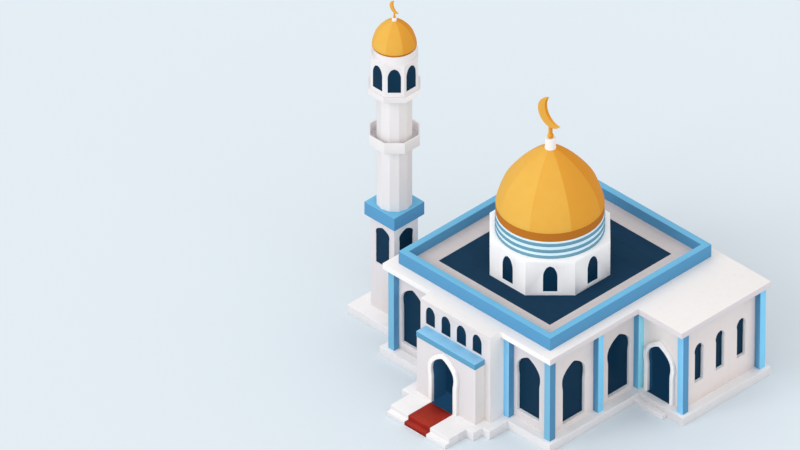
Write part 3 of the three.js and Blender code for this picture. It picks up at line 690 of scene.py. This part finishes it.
frame_thick = 0.03
pane_thick = 0.008
pane_inset = 0.015
frame_arris = 0.004


def add_shape(whole, part):
    """Adds one bmesh to another and frees it."""
    spare = bpy.data.meshes.new("spare")
    part.to_mesh(spare)
    part.free()
    whole.from_mesh(spare)
    bpy.data.meshes.remove(spare)


def window_set(name, outline, stands, depth, bar, glazed):
    """Frames, and panes where they are glazed, in openings of one shape."""
    frames = bmesh.new()
    panes = bmesh.new()
    for turn, foot in stands:
        put = Matrix.Translation(foot) @ Matrix.Rotation(math.radians(turn), 4, "Z")
        for shape, is_frame in ((frames, True), (panes, False)):
            one = bmesh.new()
            face = one.faces.new([one.verts.new((u, depth, v)) for u, v in outline][::-1])
            face.normal_update()
            ring = bmesh.ops.inset_region(one, faces=[face], thickness=bar, use_boundary=True,
                                          use_even_offset=True)["faces"]
            kept = set(ring) if is_frame else set(one.faces) - set(ring)
            bmesh.ops.delete(one, geom=[f for f in one.faces if f not in kept], context="FACES")
            bmesh.ops.solidify(one, geom=one.faces[:], thickness=frame_thick if is_frame else pane_thick)
            if not is_frame:
                bmesh.ops.translate(one, vec=(0, pane_inset, 0), verts=one.verts)
            bmesh.ops.transform(one, matrix=put, verts=one.verts)
            bmesh.ops.recalc_face_normals(one, faces=one.faces)
            add_shape(shape, one)
    framed = fit(as_object(name + "_frames", frames), window_enamel)
    soften(framed, frame_arris, segments=1)
    if glazed:
        fit(as_object(name + "_panes", panes), glass)
    else:
        panes.free()


glass = tinted_glass()
window_enamel = enamel()
for name in nodes:
    if name.endswith("glass") or "_glass_" in name:
        nodes[name].material_slots[0].material = glass

keel = [(0.988, 0.16), (0.95, 0.3), (0.87, 0.44), (0.75, 0.57), (0.6, 0.7), (0.42, 0.82), (0.2, 0.93)]
soft = [(0.96, 0.22), (0.87, 0.43), (0.75, 0.59), (0.63, 0.735), (0.44, 0.88)]
tall_arch = arch_points(half=0.708, height=3.22, swell=0.05, rise=1.417, crown=keel)
narrow_arch = arch_points(half=0.275, height=2.11, swell=0.026, rise=0.56, crown=soft)
portal_arch = arch_points(half=0.297, height=1.022, swell=0, rise=0.378, crown=soft)
foot_arch = arch_points(half=0.425, height=2.062, swell=0.02, rise=0.56, crown=keel)
drum_arch = arch_points(half=0.327, height=1.389, swell=0, rise=0.56, crown=soft)
lantern_arch = arch_points(half=0.303, height=1.294, swell=0, rise=0.478, crown=soft)
glass_lap = 0.1


def sill(glass_node):
    """The sill's height, which the sheet of glass behind it overlaps."""
    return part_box(glass_node)[0].z + glass_lap


def middle_of(node):
    """The middle of a node's box."""
    low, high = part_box(node)
    return (low + high) / 2


end_sill, side_sill = sill("back_glass"), sill("right_glass")
front_places = (-3.935, 3.456)
back_places = (-3.7, 0, 3.456)
side_places = (-3.669, -0.758)
tall_stands = [(0, (x, -hall_face_y, end_sill)) for x in front_places]
tall_stands += [(180, (x, hall_face_y, end_sill)) for x in back_places]
tall_stands += [(90, (hall_face_x, y, side_sill)) for y in side_places]
tall_stands += [(-90, (-hall_face_x, y, side_sill)) for place in side_places for y in (place, -place)]
annex_middle, annex_spacing = middle_of("annex_right_glass").y, 1.367
narrow_stands = [(90, (annex_face_x, annex_middle + annex_spacing * i, sill("annex_right_glass")))
                 for i in (-1, 0, 1)]
portal_middle, portal_spacing = middle_of("portal_glass").x, 0.992
portal_stands = [(0, (portal_middle + portal_spacing * i, portal_face_y, sill("portal_glass")))
                 for i in (-1.5, -0.5, 0.5, 1.5)]


def ring_stands(centre, apothem, sides, height):
    """The feet of windows in the middle of each side of a tower."""
    turns = [360 / sides * i for i in range(sides)]
    return [(turn, (centre[0] + apothem * math.sin(math.radians(turn)),
                    centre[1] - apothem * math.cos(math.radians(turn)), height)) for turn in turns]


drum_centre = middle_of("dome_drum").xy
minaret_centre = middle_of("minaret_base").xy
drum_stands = ring_stands(drum_centre, apothem=2.728, sides=8, height=5.521)
lantern_stands = ring_stands(minaret_centre, apothem=1.078, sides=8, height=12.977)
foot_stands = ring_stands(minaret_centre, apothem=0.761, sides=4, height=sill("minaret_base_glass"))
window_set("tall_window", tall_arch, tall_stands, depth=0.165, bar=0.045, glazed=False)
window_set("annex_window", narrow_arch, narrow_stands, depth=0.165, bar=0.035, glazed=False)
window_set("portal_window", portal_arch, portal_stands, depth=0.035, bar=0.03, glazed=True)
window_set("drum_window", drum_arch, drum_stands, depth=0.012, bar=0.03, glazed=True)
window_set("lantern_window", lantern_arch, lantern_stands, depth=0.012, bar=0.03, glazed=True)
window_set("foot_window", foot_arch, foot_stands, depth=0.02, bar=0.03, glazed=True)


# The drum, its cornice band and the blue stripes
# Eight rendered sides stand on the hall's roof slab.
# The round band above them steps in and out a little, and every second ring of it is painted blue.
def striped_render():
    """Blue and white rings by turns, which start at these shares of the band's height."""
    finish, tree, shader, place = new_finish("striped_render", 0.7, 0.3)
    low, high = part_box("dome_band")
    ring_blue = paint(104, 152, 172)
    ring_white = paint(216, 240, 254)
    ring_starts = [0, 0.17, 0.339, 0.52, 0.716, 0.896]
    colours = tree.nodes.new("ShaderNodeValToRGB")
    stripes = colours.color_ramp
    stripes.interpolation = "CONSTANT"
    stripes.elements.remove(stripes.elements[1])
    for i, share in enumerate(ring_starts):
        element = stripes.elements[0] if i == 0 else stripes.elements.new(share)
        element.color = ring_white if i % 2 else ring_blue
    tree.links.new(along(tree, place, "Z", low.z, high.z), colours.inputs["Fac"])
    tree.links.new(colours.outputs["Color"], shader.inputs["Base Color"])
    relief(tree, shader, noise(tree, place, 60, 4), 0.002)
    return finish


band_arris = 0.006
# Painted light: the drum is in the brighter white, against the shade near the dark roof.
dressed("drum_coat", ["dome_drum"], white_trim_and_painted_light)
dressed("striped_band", ["dome_band"], striped_render(), band_arris)


# The gilt domes
# Eight gores of gilded sheet metal are nailed to a timber frame and folded together at the creases.
# They stand on a round rim of gilt, painted darker as painted shade under the gores, which covers the top
# of the drum or of the lantern.
gore_angle = math.pi / 4
gore_lap = 0.015
round_share = 0.4
flatness = 0.4
curve_steps = 48
crease_reach = 0.01
sharp_angle = math.radians(30)
rim_chamfer = 0.02
rim_roll = 0.03
sun_bearing = math.radians(255)
gilt_sun = (-0.75, -0.45, 0.5)


def gore_share(tree, place, centre):
    """A share for each eighth of the dome, by how much it turns to the sun."""
    moved = tree.nodes.new("ShaderNodeMapping")
    moved.inputs["Location"].default_value = (-centre[0], -centre[1], 0)
    tree.links.new(place, moved.inputs["Vector"])
    parts = tree.nodes.new("ShaderNodeSeparateXYZ")
    tree.links.new(moved.outputs["Vector"], parts.inputs["Vector"])
    angle = reckon(tree, "ARCTAN2", parts.outputs["Y"], parts.outputs["X"])
    gore = reckon(tree, "SNAP", reckon(tree, "ADD", angle, gore_angle / 2), gore_angle)
    turned = reckon(tree, "COSINE", reckon(tree, "SUBTRACT", gore, sun_bearing))
    return ramp(tree, turned, -0.9, 1)


def gilding(name, in_shade, sunlit, centre=None):
    """Gilt whose tone is painted light and shade by how it turns to the sun, sheet by sheet where the
    dome's centre is given.
    """
    finish, tree, shader, place = new_finish(name, 0.6, 0.07)
    if centre is not None:
        share = gore_share(tree, place, centre)
    else:
        share = facing(tree, gilt_sun, -0.35, 0.85)
    coat = blend_colours(tree, share, in_shade, sunlit)
    dulled = product(tree, patches(tree, place, 1.6, 4, 0.35, 0.75), 0.15)
    toned = blend_colours(tree, dulled, coat, in_shade)
    tree.links.new(toned, shader.inputs["Base Color"])
    relief(tree, shader, noise(tree, place, 9, 3), 0.004)
    return finish


def bezier(points, steps):
    """A cubic curve through four steering points, as radius and height."""
    found = []
    for i in range(steps + 1):
        t = i / steps
        weights = ((1 - t) ** 3, 3 * t * (1 - t) ** 2, 3 * t * t * (1 - t), t ** 3)
        found.append(tuple(sum(w * p[k] for w, p in zip(weights, points)) for k in (0, 1)))
    return found


def spun(outline, turns=96):
    """A closed body turned from an outline that starts and ends on the axis."""
    shape = bmesh.new()
    rail = [shape.verts.new((radius, 0, height)) for radius, height in outline]
    chain = [shape.edges.new(pair) for pair in zip(rail, rail[1:])]
    bmesh.ops.spin(shape, geom=rail + chain, cent=(0, 0, 0), axis=(0, 0, 1), angle=math.tau,
                   steps=turns, use_merge=True)
    bmesh.ops.remove_doubles(shape, verts=shape.verts, dist=1e-5)
    bmesh.ops.recalc_face_normals(shape, faces=shape.faces)
    return shape


def gored_dome(name, node, centre, rim, rim_radius, radius, height, seat, swell, shoulder, shell, finish):
    """The dome's rim as one piece and its eight gores as another.

    The rim is so high and wide. The gores start round on it, flatten with the height and end
    at the finial's seat. Swell and shoulder steer their curve, as shares of radius and height.
    """
    foot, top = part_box(node)
    base = (*centre, foot.z)
    curve = bezier([(radius, rim), (swell[0] * radius, rim + swell[1] * height),
                    (shoulder[0] * radius, rim + shoulder[1] * height), (0, rim + height)], curve_steps)
    outer = [(radius - gore_lap, rim)] + [point for point in curve[1:] if point[0] > seat]
    outer.append((seat, top.z - foot.z))
    inner = [(max(r - shell, 0.01), z - shell * (z - rim) / height) for r, z in outer]
    body = spun([(0, outer[-1][1])] + outer[::-1] + inner + [(0, inner[-1][1])])
    for vert in body.verts:
        angle = math.atan2(vert.co.y, vert.co.x)
        local = angle - gore_angle * round(angle / gore_angle)
        rise = min(max((vert.co.z - rim) / (round_share * height), 0), 1)
        flat = math.cos(gore_angle / 2) / (1 + (math.cos(local) - 1) * rise)
        draw = 1 + flatness * (flat - 1)
        if vert.co.xy.length > seat:
            vert.co.x *= draw
            vert.co.y *= draw
    for edge in body.edges:
        sides = [math.atan2(v.co.y, v.co.x) / gore_angle for v in edge.verts]
        creased = all(abs(abs(side - round(side)) - 0.5) < crease_reach for side in sides)
        edge.smooth = not creased and edge.calc_face_angle(0) < sharp_angle
    for face in body.faces:
        face.smooth = True
    bmesh.ops.translate(body, vec=base, verts=body.verts)
    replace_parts(fit(as_object(name + "_gores", body), finish), node)

    inside = rim_radius - shell
    chamfered = rim_radius - rim_chamfer
    hoop = spun([(inside, 0), (chamfered, 0), (rim_radius, rim_roll), (rim_radius, rim - rim_roll),
                 (chamfered, rim), (inside, rim), (inside, 0)])
    bmesh.ops.translate(hoop, vec=base, verts=hoop.verts)
    rim_piece = fit(as_object(name + "_rim", hoop), rim_shade_gilt)
    shade_smooth(rim_piece)
    rim_piece.data.set_sharp_from_angle(angle=sharp_angle)


# Painted light and shade: the gilt is lighter where it turns to the sun.
shaded_gold = paint(217, 142, 36)
lit_gold = paint(226, 177, 79)
gilt = gilding("gilding", shaded_gold, lit_gold)
# Painted shade: the rim is a darker gilt, for the shade under the gores.
rim_shade_gilt = gilding("rim_shade_gilding", paint(184, 112, 36), paint(189, 115, 36))
main_gilt = gilding("main_gilding", shaded_gold, lit_gold, drum_centre)
small_gilt = gilding("small_gilding", shaded_gold, lit_gold, minaret_centre)
gored_dome("main_dome", "main_dome", drum_centre, rim=0.465, rim_radius=2.47, radius=2.57, height=3.109,
           seat=0.25, swell=(0.865, 0.526), shoulder=(0.27, 0.969), shell=0.2, finish=main_gilt)
gored_dome("small_dome", "minaret_dome", minaret_centre, rim=0.09, rim_radius=1.01, radius=1.055,
           height=1.276, seat=0.1, swell=(1.014, 0.15), shoulder=(0.704, 0.954), shell=0.1,
           finish=small_gilt)


# The finials
# A white rendered collar stands on the dome's seat, with a turned gilt ball and stem on it.
# A flat crescent, cut from gilded plate, is fixed on the stem.
finial_turns = 48
collar_arris = 0.006
plate_arris_share = 0.1


def crescent(radius, thick, middle):
    """A flat crescent whose horns open up and to the right, as a closed bmesh."""
    tilt = math.radians(28.5)
    shift = 0.759 * radius
    inside = 1.085 * radius
    steps = 40
    tip_x = (radius ** 2 + shift ** 2 - inside ** 2) / (2 * shift)
    opening = math.acos(tip_x / radius)
    inner_start = math.atan2(radius * math.sin(opening), tip_x - shift)
    outer_arc = [opening + (math.tau - 2 * opening) * i / steps for i in range(steps + 1)]
    inner_arc = [-inner_start - (math.tau - 2 * inner_start) * i / steps for i in range(1, steps)]
    points = [(radius * math.cos(a), radius * math.sin(a)) for a in outer_arc]
    points += [(shift + inside * math.cos(a), inside * math.sin(a)) for a in inner_arc]
    shape = bmesh.new()
    shape.faces.new([shape.verts.new((u, 0, v)) for u, v in points])
    bmesh.ops.rotate(shape, matrix=Matrix.Rotation(-tilt, 3, "Y"), verts=shape.verts)
    bmesh.ops.translate(shape, vec=Vector(middle) + Vector((0, -thick / 2, 0)), verts=shape.verts)
    bmesh.ops.solidify(shape, geom=shape.faces[:], thickness=-thick)
    bmesh.ops.recalc_face_normals(shape, faces=shape.faces)
    return shape


def finial(name, node, centre, collar, stem, radius, thick, crescent_x, crescent_z):
    """The collar as one piece, and the ball, stem and crescent as another."""
    seat = Vector((*centre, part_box(node)[0].z))
    white_collar = spun(collar, finial_turns)
    bmesh.ops.translate(white_collar, vec=seat, verts=white_collar.verts)
    turned = fit(as_object(name + "_collar", white_collar), limewash)
    soften(turned, collar_arris)
    ball = spun(stem, finial_turns)
    bmesh.ops.translate(ball, vec=seat, verts=ball.verts)
    moon = crescent(radius, thick, seat + Vector((crescent_x, 0, crescent_z)))
    add_shape(ball, moon)
    gilded = fit(as_object(name, ball), gilt)
    soften(gilded, thick * plate_arris_share)
    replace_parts(gilded, node)


moon_height = 13.649
finial("crescent_finial", "main_finial", drum_centre,
       collar=[(0, 0), (0.262, 0), (0.262, 0.04), (0.245, 0.06), (0.245, 0.54), (0.225, 0.557), (0, 0.557)],
       stem=[(0, 0.557), (0.11, 0.557), (0.132, 0.605), (0.145, 0.669), (0.132, 0.735), (0.095, 0.79),
             (0.095, 1.4), (0, 1.4)],
       radius=0.762, thick=0.161, crescent_x=0.188, crescent_z=moon_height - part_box("main_finial")[0].z)
finial("small_finial", "minaret_finial", minaret_centre,
       collar=[(0, 0), (0.112, 0), (0.112, 0.15), (0.098, 0.17), (0, 0.17)],
       stem=[(0, 0.17), (0.052, 0.17), (0.062, 0.215), (0.052, 0.262), (0.036, 0.28), (0.036, 0.56),
             (0, 0.56)],
       radius=0.32, thick=0.065, crescent_x=0.115, crescent_z=0.8)


# The minaret
# A square foot with a blue capital carries a twelve-sided shaft, built of brick and rendered.
# An eight-sided gallery is cast round the shaft, and an eight-sided lantern stands on top of it.
def gallery_screed():
    finish, tree, shader, place = new_finish("gallery_screed", 0.9, 0.2)
    stained = patches(tree, place, 4, 5, 0.35, 0.75)
    toned = blend_colours(tree, stained, paint(232, 226, 231), paint(222, 216, 221))
    tree.links.new(toned, shader.inputs["Base Color"])
    relief(tree, shader, noise(tree, place, 80, 4), 0.002)
    return finish


gallery_foot = 9.8
walk_height = 9.9
lantern_ring = (12.4, 12.79)


def tops(middle, normal):
    return normal.z > 0.5


def right_side(middle, normal):
    return normal.x > 0.5


def gallery_walk(middle, normal):
    return normal.z > 0.5 and middle.z < walk_height


def parapet_inside(middle, normal):
    """The faces of the gallery's parapet that turn towards the shaft, whitened as painted light in their
    shade.
    """
    inward = minaret_centre - middle.xy
    return middle.z > gallery_foot and abs(normal.z) < 0.5 and normal.xy.dot(inward) > 0


def ring_right(middle, normal):
    """The right side of the ring under the lantern, whitened as painted light."""
    return between(middle.z, lantern_ring) and normal.x > 0.8


# Painted shade: the shaft's faces that turn left are darker.
tower_render = lime_render("tower_render", paint(230, 227, 228), paint(227, 223, 224),
                           direction=(-1, 0, 0), turned=paint(206, 203, 204))
foot = dressed("minaret_foot_coat", ["minaret_base"], wall_render)
repaint(foot, limewash, tops)
# Painted light: the foot's right side is in the brighter white, against the hall's shade.
repaint(foot, white_trim_and_painted_light, right_side)
# Painted light: the capital's top is lighter than its sides.
dressed("minaret_capital_coat", ["minaret_capital"], parapet_blue)
dressed("minaret_shaft_coat", ["minaret_shaft"], tower_render)
gallery = dressed("minaret_gallery_coat", ["minaret_gallery"], tower_render)
repaint(gallery, gallery_screed(), gallery_walk)
repaint(gallery, white_trim_and_painted_light, parapet_inside)
lantern = dressed("minaret_lantern_coat", ["minaret_lantern"], tower_render)
repaint(lantern, white_trim_and_painted_light, ring_right)


# The carpet on the steps
# A runner of red wool, woven in one length, lies loose from the threshold over the landing
# and down the two steps. Its end by the door is painted lighter, as painted light in the door's shade, and
# its risers darker, as painted shade.
painted_light_from = -8.1
painted_light_full = -7.3


def wool_pile():
    finish, tree, shader, place = new_finish("wool_pile", 0.95, 0.1)
    worn = blend_colours(tree, patches(tree, place, 6, 5, 0.3, 0.8), paint(174, 57, 41), paint(166, 52, 38))
    # Painted light: lighter towards the door's end, against the shade there.
    in_shade = along(tree, place, "Y", painted_light_from, painted_light_full)
    lit_near_door = blend_colours(tree, in_shade, worn, paint(204, 58, 46))
    # Painted shade: the risers are darker than the tops.
    toned = blend_colours(tree, facing(tree, (0, 0, 1), 0.3, 0.8), paint(150, 38, 35), lit_near_door)
    tree.links.new(toned, shader.inputs["Base Color"])
    relief(tree, shader, noise(tree, place, 320, 3), 0.004)
    return finish


lift = 0.006
step_rise = plinth_top / 2
tread = 0.25
fold_radius = 0.014
pile_thick = 0.011
carpet_low, carpet_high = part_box("entrance_carpet")
carpet_width = carpet_high.x - carpet_low.x
landing_z = plinth_top + lift
step_z = step_rise + lift
step_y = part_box("entrance_steps")[0].y - lift
landing_y = step_y + tread
fold_line = [(carpet_high.y, landing_z), (landing_y, landing_z), (landing_y, step_z), (step_y, step_z),
             (step_y, carpet_low.z)]
runner = bmesh.new()
edge_verts = [runner.verts.new((carpet_low.x, y, z)) for y, z in fold_line]
edge_lines = [runner.edges.new(pair) for pair in zip(edge_verts, edge_verts[1:])]
across = bmesh.ops.extrude_edge_only(runner, edges=edge_lines)["geom"]
far_side = [part for part in across if isinstance(part, bmesh.types.BMVert)]
bmesh.ops.translate(runner, vec=(carpet_width, 0, 0), verts=far_side)
folds = [edge for edge in runner.edges if len(edge.link_faces) == 2]
bmesh.ops.bevel(runner, geom=folds, offset=fold_radius, offset_type="OFFSET", affect="EDGES", segments=4,
                profile=0.5, material=-1)
bmesh.ops.recalc_face_normals(runner, faces=runner.faces)
carpet = fit(as_object("carpet_runner", runner), wool_pile())
pile = carpet.modifiers.new("pile", "SOLIDIFY")
pile.thickness = pile_thick
pile.offset = 0
shade_smooth(carpet)
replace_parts(carpet, "entrance_carpet")
